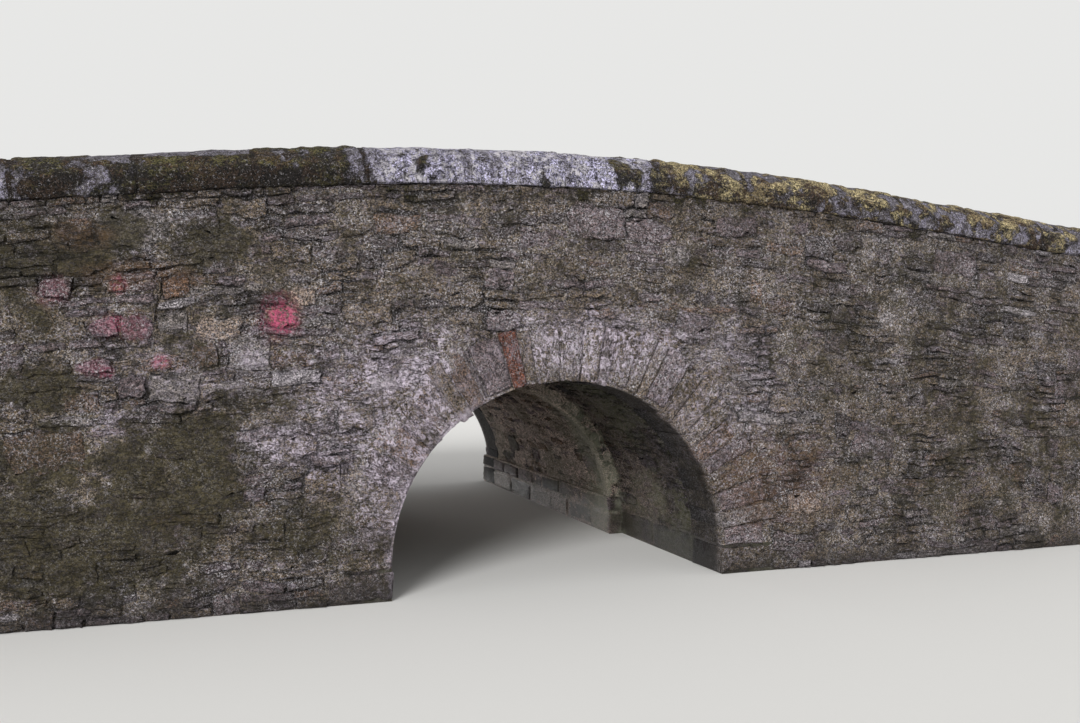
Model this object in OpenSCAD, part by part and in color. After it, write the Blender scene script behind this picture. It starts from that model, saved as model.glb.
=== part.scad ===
// Small stone arch bridge: one round arch over a stream, rubble walls, humped road and rounded coping.
// X runs along the road, Y along the stream with the front face at -Y, and Z is up from the water level.
// The origin is under the crown of the arch, midway between the two faces. All sizes are in millimetres.

/* [Arch] */
// Clear span of the front arch at its springing
arch_span = 2300; // [1800:10:2800]
// Height of the springing above the water
springing_height = 200; // [120:10:400]
// Radial depth of the stones in the two face rings
ring_depth = 420; // [380:10:520]
// Radial thickness of the vault between the face rings
vault_thickness = 380; // [250:10:420]
// How far the newer front part of the vault reaches in from the front face
front_part_depth = 1700; // [900:10:2400]
// How far the older vault stands inside the newer front part
vault_step = 70; // [30:5:150]
// Height of the ledge from which the older vault rises
ledge_height = 300; // [250:10:450]
// How far the ledge stands out from the foot of the older vault
ledge_projection = 40; // [10:5:80]

/* [Walls] */
// Length of the bridge from end to end along the road
bridge_length = 9100; // [7600:50:12000]
// Width of the bridge over the outer faces of its walls
bridge_width = 5300; // [4200:50:7000]
// Thickness of the walls below the road
wall_thickness = 450; // [420:10:600]
// Thickness of the walls that close the two ends
end_wall_thickness = 450; // [300:10:600]
// Thickness of the parapets
parapet_thickness = 400; // [300:10:420]
// Height of the parapet masonry from the road to the coping
parapet_height = 630; // [400:10:900]

/* [Road] */
// Masonry and road over the crown of the face ring
crown_cover = 200; // [160:10:400]
// Thickness of the road surface
road_thickness = 100; // [60:5:140]
// Half the length of the rounded crest of the hump
crest_half_length = 2200; // [1500:50:3000]
// Slope of the straight ramps beyond the crest, in degrees
ramp_angle = 6; // [2:0.5:9]

/* [Coping] */
// Number of coping stones on each parapet
coping_stones = 14; // [10:2:18]
// Height of a coping stone
coping_height = 250; // [160:5:300]
// Height of its upright edge, below the rounded top
coping_edge = 110; // [40:5:120]
// How far the coping overhangs each face of the parapet
coping_overhang = 35; // [10:5:60]
// Mortar joint between two coping stones
coping_joint = 12; // [6:1:20]

/* [Hidden] */
$fn = 120;
front_radius = arch_span / 2;
old_radius = front_radius - vault_step;
front_abutment_outer = front_radius + ring_depth;
old_abutment_outer = half_width(old_radius + ring_depth, ledge_height);
ledge_half_width = half_width(old_radius, ledge_height) - ledge_projection;
front_face = -bridge_width / 2;
back_face = bridge_width / 2;
seam_y = front_face + front_part_depth;
front_inner = front_face + wall_thickness;
back_inner = back_face - wall_thickness;
half_length = bridge_length / 2;
road_crown = springing_height + front_radius + ring_depth + crown_cover;
ramp_slope = tan(ramp_angle);
coping_width = parapet_thickness + 2 * coping_overhang;
coping_y = back_face - parapet_thickness / 2;
coping_rise = coping_height - coping_edge;
coping_radius = (pow(coping_width / 2, 2) + pow(coping_rise, 2)) / (2 * coping_rise);
// Spare length that a cutting shape has beyond what it cuts
cut_margin = 500;

SIDES = ["front", "back"];

function two_digits(number) = str(number < 10 ? "0" : "", number);
function coping_name(side, number) = str("coping_", side, "_", two_digits(number));

// The hump: how far the road lies below its crown at a distance x from the middle
function road_fall(x) = abs(x) <= crest_half_length
    ? ramp_slope * x * x / (2 * crest_half_length)
    : ramp_slope * (abs(x) - crest_half_length / 2);
function road_level(x) = road_crown - road_fall(x);
// The joints of the coping, numbered from 0 at the left end; walls and road change slope at the same places
function joint_x(joint) = -half_length + joint * bridge_length / coping_stones;
function joint_line(rise) = [for (joint = [0:coping_stones]) [joint_x(joint), road_level(joint_x(joint)) + rise]];
function backwards(points) = [for (i = [len(points) - 1:-1:0]) points[i]];

// Outlines in X and Z are drawn flat and stood up between two distances along the stream
module stand_between(y_near, y_far) {
    translate([0, y_far, 0]) rotate([90, 0, 0]) linear_extrude(y_far - y_near) children();
}

module below_line(rise) {
    polygon(concat([[-half_length, 0]], joint_line(rise), [[half_length, 0]]));
}

module between_lines(low, high) {
    polygon(concat(joint_line(high), backwards(joint_line(low))));
}

// Everything on one side of the middle, left being -1 and right 1
module half_plane(side) {
    translate([side < 0 ? -half_length - cut_margin : 0, 0]) square([half_length + cut_margin, road_crown + cut_margin]);
}

module box_xz(x_low, x_high, z_low, z_high) {
    translate([x_low, z_low]) square([x_high - x_low, z_high - z_low]);
}

// Half the width of an arch of this radius at the given level
function half_width(radius, level) = sqrt(pow(radius, 2) - pow(level - springing_height, 2));

// A round arch of the given radii, cut off level at its foot
module arch_outline(inner, outer, foot) {
    difference() {
        intersection() {
            translate([0, springing_height]) circle(outer);
            box_xz(-outer, outer, foot, springing_height + outer);
        }
        translate([0, springing_height]) circle(inner);
    }
}

// What an arch of this outer radius and the abutments under it take out of a wall or the fill
module arch_and_abutments(outer, abutment_outer, foot) {
    intersection() {
        translate([0, springing_height]) circle(outer);
        box_xz(-outer, outer, foot, springing_height + outer);
    }
    translate([-abutment_outer, -cut_margin]) square([2 * abutment_outer, foot + cut_margin]);
}

// The stone that carries one side of the arch: up to the springing in front, up to the ledge behind the seam
module abutment(side) {
    color("dimgray") {
        stand_between(front_face, seam_y) mirror([side < 0 ? 1 : 0, 0])
            box_xz(front_radius, front_abutment_outer, 0, springing_height);
        stand_between(seam_y, back_face) mirror([side < 0 ? 1 : 0, 0])
            box_xz(ledge_half_width, old_abutment_outer, 0, ledge_height);
    }
}

module vault_front_part() {
    color("slategray") stand_between(front_inner, seam_y)
        arch_outline(front_radius, front_radius + vault_thickness, springing_height);
}

module vault_old_part() {
    color("darkslategray") stand_between(seam_y, back_inner)
        arch_outline(old_radius, old_radius + vault_thickness, ledge_height);
}

module arch_ring_front() {
    color("rosybrown") stand_between(front_face, front_inner)
        arch_outline(front_radius, front_radius + ring_depth, springing_height);
}

module arch_ring_back() {
    color("rosybrown") stand_between(back_inner, back_face)
        arch_outline(old_radius, old_radius + ring_depth, ledge_height);
}

module wall_front(side) {
    color("gray") stand_between(front_face, front_inner) difference() {
        intersection() {
            below_line(0);
            half_plane(side);
        }
        arch_and_abutments(front_radius + ring_depth, front_abutment_outer, springing_height);
    }
}

module wall_back(side) {
    color("gray") stand_between(back_inner, back_face) difference() {
        intersection() {
            below_line(0);
            half_plane(side);
        }
        arch_and_abutments(old_radius + ring_depth, old_abutment_outer, ledge_height);
    }
}

module end_wall(side) {
    color("gray") stand_between(front_inner, back_inner) mirror([side < 0 ? 1 : 0, 0]) intersection() {
        below_line(-road_thickness);
        box_xz(half_length - end_wall_thickness, half_length, 0, road_crown);
    }
}

module fill_outline(side) {
    mirror([side < 0 ? 1 : 0, 0]) intersection() {
        below_line(-road_thickness);
        box_xz(0, half_length - end_wall_thickness, 0, road_crown);
    }
}

// The packed earth and stone between the walls, on one side of the middle
module packed_fill(side) {
    color("peru") {
        stand_between(front_inner, seam_y) difference() {
            fill_outline(side);
            arch_and_abutments(front_radius + vault_thickness, front_abutment_outer, springing_height);
        }
        stand_between(seam_y, back_inner) difference() {
            fill_outline(side);
            arch_and_abutments(old_radius + vault_thickness, old_abutment_outer, ledge_height);
        }
    }
}

module road_surface() {
    color("darkgray") stand_between(front_inner, back_inner) between_lines(-road_thickness, 0);
}

module parapet(y_near) {
    color("gray") stand_between(y_near, y_near + parapet_thickness) between_lines(0, parapet_height);
}

// Section across a coping stone: upright edges and a rounded top
module coping_section() {
    intersection() {
        translate([-coping_width / 2, 0]) square([coping_width, coping_height]);
        translate([0, coping_height - coping_radius]) circle(coping_radius);
    }
}

// One coping stone, laid along the line between two joints; the outer ends of the end stones are cut plumb
module coping_stone(side, number) {
    low = joint_line(parapet_height)[number - 1];
    high = joint_line(parapet_height)[number];
    run = high - low;
    lean = coping_height * ramp_slope;
    grow_left = number == 1 ? lean : -coping_joint / 2;
    grow_right = number == coping_stones ? lean : -coping_joint / 2;
    color("silver") translate([0, side == "front" ? -coping_y : coping_y, 0]) intersection() {
        translate([low[0], 0, low[1]]) rotate([0, -atan2(run[1], run[0]), 0]) translate([-grow_left, 0, 0])
            rotate([90, 0, 90]) linear_extrude(norm(run) + grow_left + grow_right) coping_section();
        translate([-half_length, -coping_width, 0])
            cube([bridge_length, 2 * coping_width, road_crown + parapet_height + 2 * coping_height]);
    }
}

abutment(-1);  // abutment_left
abutment(1);  // abutment_right
vault_front_part();
vault_old_part();
arch_ring_front();
arch_ring_back();
wall_front(-1);  // wall_front_left
wall_front(1);  // wall_front_right
wall_back(-1);  // wall_back_left
wall_back(1);  // wall_back_right
end_wall(-1);  // end_wall_left
end_wall(1);  // end_wall_right
packed_fill(-1);  // fill_left
packed_fill(1);  // fill_right
road_surface();
parapet(front_face);  // parapet_front
parapet(back_face - parapet_thickness);  // parapet_back
for (side = SIDES, number = [1:coping_stones])
    coping_stone(side, number);
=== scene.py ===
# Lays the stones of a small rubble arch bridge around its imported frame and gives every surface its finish.
# Sizes are in metres. X runs along the road, Y along the stream away from the camera, Z up from the water.

import math
import random
from collections import namedtuple

import bpy
import numpy as np
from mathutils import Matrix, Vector, noise


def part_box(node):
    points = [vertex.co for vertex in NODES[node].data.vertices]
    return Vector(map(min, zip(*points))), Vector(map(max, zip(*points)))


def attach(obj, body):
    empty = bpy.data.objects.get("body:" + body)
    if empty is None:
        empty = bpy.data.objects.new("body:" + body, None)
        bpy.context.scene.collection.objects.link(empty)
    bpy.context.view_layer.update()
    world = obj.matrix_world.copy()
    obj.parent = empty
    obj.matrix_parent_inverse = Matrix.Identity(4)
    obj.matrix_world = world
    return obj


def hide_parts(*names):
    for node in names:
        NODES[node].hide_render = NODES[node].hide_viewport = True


bl_info = {
    "name": "Stone Arch Bridge",
    "version": (1, 0, 0),
    "blender": (4, 5, 0),
    "location": "3D View > Sidebar > Bridge",
    "description": "Lays rubble, arch stones, coping and road around the frame of a small stone bridge",
    "category": "Add Mesh",
}

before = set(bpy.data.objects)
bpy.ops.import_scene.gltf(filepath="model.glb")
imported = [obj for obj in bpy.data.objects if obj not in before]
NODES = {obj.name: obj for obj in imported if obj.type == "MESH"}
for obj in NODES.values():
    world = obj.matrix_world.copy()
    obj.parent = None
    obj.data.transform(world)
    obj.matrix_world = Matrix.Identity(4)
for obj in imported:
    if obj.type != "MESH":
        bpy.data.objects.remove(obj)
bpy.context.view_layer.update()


def mesh_points(mesh):
    """The points of a mesh as rows of x, y and z."""
    return np.array([vertex.co for vertex in mesh.vertices], float)


# What the frame says about the bridge
FRONT_RING = mesh_points(NODES["arch_ring_front"].data)
BACK_RING = mesh_points(NODES["arch_ring_back"].data)
PARAPET = mesh_points(NODES["parapet_front"].data)
SPRINGING = FRONT_RING[:, 2].min()
LEDGE = BACK_RING[:, 2].min()
FRONT_FACE = FRONT_RING[:, 1].min()
BACK_FACE = BACK_RING[:, 1].max()
RING_DEPTH_IN = np.ptp(FRONT_RING[:, 1])
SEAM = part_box("vault_old_part")[0].y
LEDGE_HALF_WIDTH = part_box("abutment_right")[0].x
HALF_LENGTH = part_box("road_surface")[1].x
ROAD_HALF_WIDTH = -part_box("parapet_front")[1].y
END_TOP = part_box("end_wall_right")[1].z
COPING_STONES = sorted(node for node in NODES if node.startswith("coping_"))


def arch_radii(points):
    """Inner and outer radius of an arch ring about its middle at the springing."""
    radii = np.hypot(points[:, 0], points[:, 2] - SPRINGING)
    return radii.min(), radii.max()


FRONT_RADIUS, FRONT_OUTER = arch_radii(FRONT_RING)
BACK_RADIUS, BACK_OUTER = arch_radii(BACK_RING)


def outline(points, pick_level):
    """The lower or upper line of the parapet in X and Z, as two rows that follow the hump."""
    stations = np.unique(points[:, 0].round(3))
    levels = [pick_level(points[np.abs(points[:, 0] - x) < 0.002, 2]) for x in stations]
    return stations, np.array(levels)


ROAD_LINE = outline(PARAPET, np.min)
COPING_LINE = outline(PARAPET, np.max)

# The inner faces of the parapets with the way out of each, the two ends, and the parts of the vault with
# their radius and the distances along the stream between which they lie
PARAPET_FACES = (("front", -ROAD_HALF_WIDTH, 1), ("back", ROAD_HALF_WIDTH, -1))
ENDS = (("left", -1), ("right", 1))
VAULT_PARTS = (
    ("front_part", FRONT_RADIUS, FRONT_FACE + RING_DEPTH_IN, SEAM),
    ("old_part", BACK_RADIUS, SEAM, BACK_FACE - RING_DEPTH_IN),
)


def ground_level(x):
    return np.zeros_like(x)


def road_level(x):
    return np.interp(x, *ROAD_LINE)


def coping_level(x):
    return np.interp(x, *COPING_LINE)


# Settings kept with the scene

def srgb(red, green, blue):
    """A colour as it shows on screen, from 0 to 255, as Blender's linear colour with full alpha."""
    channels = [value / 255 for value in (red, green, blue)]
    return tuple(c / 12.92 if c <= 0.04045 else ((c + 0.055) / 1.055) ** 2.4 for c in channels) + (1.0,)


def number_property(name, description, default, **settings):
    return bpy.props.FloatProperty(name=name, description=description, default=default, **settings)


def length_property(name, description, default):
    return number_property(name, description, default, min=0.0, max=1.0, unit="LENGTH", precision=3)


def colour_property(name, description, red, green, blue):
    default = srgb(red, green, blue)
    return bpy.props.FloatVectorProperty(
        name=name, description=description, default=default, size=4, min=0.0, max=1.0, subtype="COLOR"
    )


class BRIDGE_PG_masonry(bpy.types.PropertyGroup):
    """Sizes of the stones and how they are laid"""

    course_low: length_property("Thinnest course", "Height of the thinnest course of rubble", 0.042)
    course_high: length_property("Thickest course", "Height of the thickest course of rubble", 0.080)
    stone_short: length_property("Shortest stone", "Length of the shortest stones on a face", 0.095)
    stone_long: length_property("Longest stone", "Length of the longest stones on a face", 0.420)
    joint: length_property("Joint", "Mortar between two stones", 0.011)
    proud: length_property("Proud", "How far a stone stands out from its wall, at most", 0.030)
    stone_depth: length_property("Depth", "How far a stone runs into its wall", 0.065)
    tall_share: number_property(
        "Tall stones", "Share of stones two or three courses high", 0.16, min=0.0, max=1.0, subtype="FACTOR"
    )
    mortar: length_property("Mortar", "Mean thickness of the mortar over the face of a wall", 0.009)
    arch_stone: length_property("Arch stone", "Mean width of a stone of the arch rings", 0.115)
    coping_grain: length_property("Coping grain", "Size of the facets on the weathered coping", 0.020)


class BRIDGE_PG_colours(bpy.types.PropertyGroup):
    """Colours of the stones and of what grows and stains on them"""

    brown: colour_property("Brown slate", "Most of the rubble", 99, 86, 72)
    purple: colour_property("Purple slate", "Rubble with a purple cast", 99, 86, 87)
    warm: colour_property("Warm slate", "Rubble with a rusty brown cast", 98, 79, 66)
    dark: colour_property("Dark slate", "The darkest rubble", 72, 63, 60)
    pale: colour_property("Pale stone", "The palest stones", 154, 147, 150)
    grey: colour_property("Grey stone", "Plain grey stones", 118, 110, 107)
    tan: colour_property("Tan stone", "Light brown stones", 142, 125, 113)
    ochre: colour_property("Ochre stone", "Orange-brown stones", 112, 86, 68)
    rose: colour_property("Rose stone", "Stones with a pink cast", 118, 98, 103)
    rust: colour_property("Rust stone", "The rust-red arch stone", 98, 56, 40)
    mortar: colour_property("Mortar", "Old lime mortar between the stones", 101, 90, 78)
    dirt: colour_property("Dirt", "Dark olive dirt on walls", 58, 53, 35)
    stain: colour_property("Stain", "Rusty brown stain on the front", 106, 76, 54)
    lime: colour_property("Lime", "White lime run out of the joints", 210, 197, 212)
    lichen: colour_property("Lichen", "Pale crusts on stone", 213, 208, 213)
    moss_dark: colour_property("Dark moss", "Moss in the shade", 32, 27, 21)
    moss_light: colour_property("Light moss", "Moss in the light", 80, 76, 42)
    moss_bright: colour_property("Bright moss", "Moss on the coping that the sun reaches", 168, 154, 116)
    moss_brown: colour_property("Dry moss", "Moss that has dried brown", 66, 49, 35)
    paint: colour_property("Faded paint", "Old red paint", 212, 98, 134)
    granite: colour_property("Coping", "Bare grey coping stone", 162, 158, 182)
    algae: colour_property("Algae", "Green film in the vault", 98, 98, 76)
    # The seam band is partly a green film and partly a painted highlight on the front edge of the older
    # vault.
    seam: colour_property("Seam", "Pale green band at the seam of the vault", 152, 154, 134)
    damp: colour_property("Damp", "Stone near the water", 42, 38, 36)
    vault: colour_property("Vault", "Stones inside the vault", 145, 129, 119)
    gravel: colour_property("Gravel", "Stone dust of the road", 128, 120, 108)
    earth: colour_property("Earth", "Packed fill, seen from below", 96, 78, 58)


class BRIDGE_PG_stage(bpy.types.PropertyGroup):
    """Camera, floor and lights"""

    eye: bpy.props.FloatVectorProperty(
        name="Eye", description="Place of the camera", default=(-2.525, -9.197, 1.611), subtype="TRANSLATION"
    )
    turn: number_property("Turn", "Camera turned right from the stream", math.radians(19.7), subtype="ANGLE")
    tip: number_property("Tip", "Camera tipped down", math.radians(1.14), subtype="ANGLE")
    lens: number_property("Lens", "Focal length on a 36 mm frame", 36.0)
    floor: colour_property("Floor", "Pale floor", 230, 229, 226)
    sky_light: number_property("Sky", "Strength of the light from all round", 0.55)
    key_light: number_property("Key", "Strength of the high light in front", 3.0)
    front_light: number_property("Front", "Strength of the low light in front", 0.25)
    back_light: number_property("Back", "Strength of the low light behind", 0.9)


def masonry():
    return bpy.context.scene.bridge_masonry


def colours():
    return bpy.context.scene.bridge_colours


def stage_settings():
    return bpy.context.scene.bridge_stage


# Modelling steps that every piece uses

def deselect_all():
    if bpy.context.mode != "OBJECT":
        bpy.ops.object.mode_set(mode="OBJECT")
    bpy.ops.object.select_all(action="DESELECT")


def activate(piece):
    deselect_all()
    piece.select_set(True)
    bpy.context.view_layer.objects.active = piece


def edit_all(piece):
    """Opens a piece in edit mode with everything selected."""
    activate(piece)
    bpy.ops.object.mode_set(mode="EDIT")
    bpy.ops.mesh.select_all(action="SELECT")


def pick(piece, element, wanted):
    """Selects the points, edges or faces that pass the test, and leaves the piece in edit mode."""
    bpy.ops.object.mode_set(mode="OBJECT")
    bpy.context.tool_settings.mesh_select_mode = [element == kind for kind in ("VERT", "EDGE", "FACE")]
    mesh = piece.data
    for items in (mesh.vertices, mesh.edges, mesh.polygons):
        items.foreach_set("select", [False] * len(items))
    if element == "EDGE":
        for edge in mesh.edges:
            ends = [mesh.vertices[index] for index in edge.vertices]
            if wanted(ends[0].co, ends[1].co):
                edge.select = ends[0].select = ends[1].select = True
    elif element == "FACE":
        for face in mesh.polygons:
            face.select = wanted(face.center, face.normal)
    else:
        for vertex in mesh.vertices:
            vertex.select = wanted(vertex.co)
    bpy.ops.object.mode_set(mode="EDIT")


def apply_modifier(piece, kind, **settings):
    activate(piece)
    modifier = piece.modifiers.new(kind.title(), kind)
    for key, value in settings.items():
        setattr(modifier, key, value)
    bpy.ops.object.modifier_apply(modifier=modifier.name)


def roughen(piece, size, height, depth=2):
    """Pushes the surface in and out by noise whose lumps have the given size."""
    texture = bpy.data.textures.new("clouds", "CLOUDS")
    texture.noise_scale = size
    texture.noise_depth = depth
    apply_modifier(piece, "DISPLACE", texture=texture, texture_coords="LOCAL", strength=height, mid_level=0.5)


def noise_at(points, scale, shift=(0.0, 0.0, 0.0)):
    """Smooth noise about 0 at each point."""
    return np.array([noise.noise(Vector(point) * scale + Vector(shift)) for point in points])


def move_points(mesh, points):
    mesh.vertices.foreach_set("co", points.astype(np.float32).ravel())
    mesh.update()


def add_attribute(mesh, name, values, kind="FLOAT"):
    field = {"FLOAT": "value", "FLOAT_VECTOR": "vector", "FLOAT_COLOR": "color"}[kind]
    attribute = mesh.attributes.new(name, kind, "POINT")
    attribute.data.foreach_set(field, np.asarray(values, np.float32).ravel())


def put_on(piece, material):
    piece.data.materials.clear()
    piece.data.materials.append(material)


def place_piece(piece, material, slot, crease=None):
    """Gives a finished piece its shading, its material and its place in the object."""
    if crease:
        activate(piece)
        bpy.ops.object.shade_smooth_by_angle(angle=math.radians(crease))
    put_on(piece, material)
    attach(piece, "root")


# Angles, in degrees, past which an edge shows as a crease
STONE_CREASE = 42
SKIN_CREASE = 60
# How far the rim of a skin of mortar or gravel is tucked in
TUCK = 0.02


def lay_grid(name, u_range, v_range, spacing):
    """A flat grid, its points' places along u and v, and which of them lie on its rim."""
    across, up = u_range[1] - u_range[0], v_range[1] - v_range[0]
    deselect_all()
    bpy.ops.mesh.primitive_grid_add(
        x_subdivisions=round(across / spacing), y_subdivisions=round(up / spacing), size=1.0
    )
    grid = bpy.context.active_object
    grid.name = grid.data.name = name
    flat = mesh_points(grid.data)
    rim = (np.abs(flat[:, :2]) > 0.4999).any(axis=1)
    return grid, u_range[0] + (flat[:, 0] + 0.5) * across, v_range[0] + (flat[:, 1] + 0.5) * up, rim


# The shapes of single stones, modelled at a usual size with the face towards -Y

class StoneShape:
    """Points, as shares of the stone's size, and faces of one modelled stone."""

    def __init__(self, piece, size):
        self.points = mesh_points(piece.data) / size
        self.faces = [tuple(face.vertices) for face in piece.data.polygons]


def runs_along(start, end, axis):
    return abs((end - start)[axis]) > 0.9 * (end - start).length


def on_rim(start, end, size):
    """True for an edge on the outline of the stone's face."""
    if max(start.y, end.y) > -0.49 * size[1]:
        return False
    return any(min(abs(start[axis]), abs(end[axis])) > 0.49 * size[axis] for axis in (0, 2))


def model_stone(seed, size, cuts, bevel, ragged, taper=1.0):
    """Models one stone: a block cut across and up, its rim knocked off, one end narrower and all ragged."""
    deselect_all()
    bpy.ops.mesh.primitive_cube_add(size=1.0, scale=size)
    stone = bpy.context.active_object
    for axis, count in zip((0, 2), cuts):
        pick(stone, "EDGE", lambda start, end: runs_along(start, end, axis))
        bpy.ops.mesh.subdivide(number_cuts=count)
    pick(stone, "FACE", lambda middle, normal: normal.y > -0.9)
    bpy.ops.mesh.dissolve_limited(angle_limit=0.1)
    pick(stone, "EDGE", lambda start, end: on_rim(start, end, size))
    bpy.ops.mesh.bevel(offset=bevel, segments=1, affect="EDGES")
    pick(stone, "VERT", lambda point: point.x > 0.3 * size[0])
    bpy.ops.transform.resize(value=(1.0, 1.0, taper))
    pick(stone, "VERT", lambda point: True)
    bpy.ops.transform.vertex_random(offset=ragged, seed=seed)
    bpy.ops.object.mode_set(mode="OBJECT")
    shape = StoneShape(stone, size)
    bpy.data.objects.remove(stone)
    return shape


# Usual sizes of the stones, and how far each shape of rubble narrows towards one end
RUBBLE_SIZE = (0.24, 0.06, 0.06)
BLOCK_SIZE = (0.40, 0.25, 0.16)
RING_STONE_SIZE = (0.11, 0.45, 0.42)
RUBBLE_TAPERS = (1.0, 0.6, 0.8, 1.0, 0.45, 0.9, 0.7, 1.0, 0.85, 0.55)
RUBBLE_SHAPES = []
BLOCK_SHAPES = []
RING_SHAPES = []


def model_stones():
    """The stones that are laid: thin rubble, larger blocks, and the long stones of the arch rings."""
    for seed, taper in enumerate(RUBBLE_TAPERS, start=1):
        RUBBLE_SHAPES.append(
            model_stone(seed, RUBBLE_SIZE, cuts=(4, 4), bevel=0.008, ragged=0.013, taper=taper)
        )
    for seed in range(31, 36):
        BLOCK_SHAPES.append(model_stone(seed, BLOCK_SIZE, cuts=(7, 4), bevel=0.014, ragged=0.012))
    for seed in range(51, 57):
        RING_SHAPES.append(model_stone(seed, RING_STONE_SIZE, cuts=(3, 9), bevel=0.008, ragged=0.008))


class Stone:
    """One stone in a face: its stretch along u and v, how far it stands out, its shape and its colour."""

    def __init__(self, rng, u_low, u_high, v_low, v_high, shapes, palette, depth=None):
        self.middle = np.array([(u_low + u_high) / 2, (v_low + v_high) / 2])
        self.size = np.array([u_high - u_low, v_high - v_low])
        self.depth = depth
        self.shape = rng.choice(shapes)
        self.turned = rng.random() < 0.5
        self.lean = rng.uniform(-0.07, 0.07)
        self.proud = rng.uniform(0.15, 1.0)
        self.fill = (rng.uniform(0.93, 1.03), rng.uniform(0.84, 1.06))
        self.colour = pick_colour(rng, palette)
        self.grain_shift = np.array([rng.uniform(-40, 40) for _ in range(3)])

    def points(self, joint, depth, proud):
        """The stone's points as u, v and n, n being the distance out of the wall."""
        depth = self.depth or depth
        unit = self.shape.points.copy()
        if self.turned:
            unit[:, [0, 2]] *= -1
        u = unit[:, 0] * (self.size[0] - joint) * self.fill[0]
        v = unit[:, 2] * (self.size[1] - joint) * self.fill[1]
        out = proud * self.proud - (0.5 + unit[:, 1]) * depth
        return u - self.lean * v + self.middle[0], v + self.lean * u + self.middle[1], out

    def hollow(self):
        """0 on the stone's face and 1 on the part of its sides that lies back in the joint."""
        return np.clip((self.shape.points[:, 1] + 0.5) / 0.22, 0.0, 1.0)


def pick_colour(rng, palette):
    names, weights = zip(*palette)
    name = rng.choices(names, weights)[0]
    return shaded(getattr(colours(), name), rng.uniform(0.75, 1.25))


def shaded(colour, factor, coated=1.0):
    """A colour made darker or lighter; its alpha says how much of the lime and dirt the stone takes on."""
    return tuple(min(1.0, value * factor) for value in colour[:3]) + (coated,)


def square_stone(rng, start, end, low, high, shapes, palette, proud, depth=None):
    """A stone set without a lean, which stands out by a share between the two given."""
    stone = Stone(rng, start, end, low, high, shapes, palette, depth)
    stone.lean = 0.0
    stone.proud = rng.uniform(*proud)
    return stone


RUBBLE_PALETTE = (("brown", 10), ("purple", 7), ("warm", 2), ("dark", 4), ("pale", 0.35), ("grey", 1.5))
RING_PALETTE = (("brown", 7), ("purple", 6), ("grey", 3), ("warm", 1))
VAULT_PALETTE = (("vault", 8), ("dark", 0.8), ("warm", 2), ("purple", 2))
ABUTMENT_PALETTE = (("dark", 4), ("purple", 4), ("vault", 3))
# Least and greatest height of a course: blocks at the foot of the opening, corner blocks, and vault
BLOCK_COURSES = (0.09, 0.16)
CORNER_COURSES = (0.12, 0.21)
VAULT_COURSES = (0.045, 0.085)


def free_parts(start, end, taken):
    """The parts of a stretch that the taken stretches leave free."""
    parts = []
    for low, high in sorted(taken):
        if low > start:
            parts.append((start, min(low, end)))
        start = max(start, high)
    if start < end:
        parts.append((start, end))
    return [part for part in parts if part[1] - part[0] > masonry().joint]


def course_lines(rng, bottom, top, thin, thick):
    lines = [bottom]
    while lines[-1] < top - thin:
        lines.append(lines[-1] + rng.uniform(thin, thick))
    stretch = (top - bottom) / (lines[-1] - bottom)
    return [bottom + (line - bottom) * stretch for line in lines]


def nearest_line(lines, level):
    return int(np.argmin(np.abs(np.array(lines) - level)))


def blocked(taken, courses, low, high):
    """True where another stone already stands in one of the courses, between low and high."""
    return any(start < high and low < end for course in courses for start, end in taken[course])


def lay_courses(rng, lines, stretches, palette, shapes, lengths, tall_share=0.0, own_place=()):
    """Fills a face with stones, course upon course.

    stretches gives the parts of a course that are free, and own_place the larger stones that have their own
    place, as u, v, width, height and colour.
    """
    stones = []
    taken = [[] for _ in lines]
    for u, v, width, height, colour in own_place:
        bottom = nearest_line(lines, v - height / 2)
        top = max(bottom + 1, nearest_line(lines, v + height / 2))
        stone = Stone(rng, u - width / 2, u + width / 2, lines[bottom], lines[top], shapes, palette)
        stone.colour = shaded(getattr(colours(), colour), 1.0, coated=0.6)
        stone.proud = rng.uniform(0.6, 1.0)
        stones.append(stone)
        for course in range(bottom, top):
            taken[course].append((u - width / 2, u + width / 2))
    short, long = lengths
    for course in range(len(lines) - 1):
        free = [part for start, end in stretches(lines[course], lines[course + 1])
                for part in free_parts(start, end, taken[course])]
        for low, high in free:
            u = low
            while high - u > 1e-6:
                top = course + (rng.choice((2, 2, 3)) if rng.random() < tall_share else 1)
                height = lines[min(top, len(lines) - 1)] - lines[course]
                length = min(max(height * rng.uniform(1.4, 5.5), short), long)
                if top > course + 1:
                    length = min(length, height * rng.uniform(1.2, 2.4))
                if high - u - length < short:
                    length = high - u
                above = range(course + 1, min(top, len(lines) - 1))
                if blocked(taken, above, u, u + length):
                    above = range(0)
                    height = lines[course + 1] - lines[course]
                foot = lines[course]
                stones.append(Stone(rng, u, u + length, foot, foot + height, shapes, palette))
                for upper in above:
                    taken[upper].append((u, u + length))
                u += length
    return stones


def near_coping(points):
    """1 right under the coping, falling to 0 a fifth of a metre below it. The walls grow moss there and are
    painted darker there, a painted shade under the coping's overhang.
    """
    return np.clip(1.0 - (coping_level(points[:, 0]) - points[:, 2]) / 0.20, 0.0, 1.0)


# How a kind of stone is set: its slot, how far it runs in and stands out, the size and height of the lumps on
# it, its joint where that isn't the usual one, and whether its beds run upright, as in an arch ring
Bond = namedtuple("Bond", "slot depth proud lump_size lump_height joint upright", defaults=(None, False))
BLOCK_BOND = Bond("rubble_wall", depth=0.3, proud=0.026, lump_size=0.09, lump_height=0.014)
RING_BOND = Bond(
    "ring_stone", RING_DEPTH_IN, proud=0.026, lump_size=0.06, lump_height=0.014, joint=0.009, upright=True
)
VAULT_BOND = Bond("vault_stone", depth=0.07, proud=0.020, lump_size=0.05, lump_height=0.012)
ABUTMENT_BOND = Bond("abutment_stone", depth=0.06, proud=0.014, lump_size=0.05, lump_height=0.012)
# How far the abutment's stones run in under the older vault
LEDGE_STONE_DEPTH = 0.16


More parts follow.
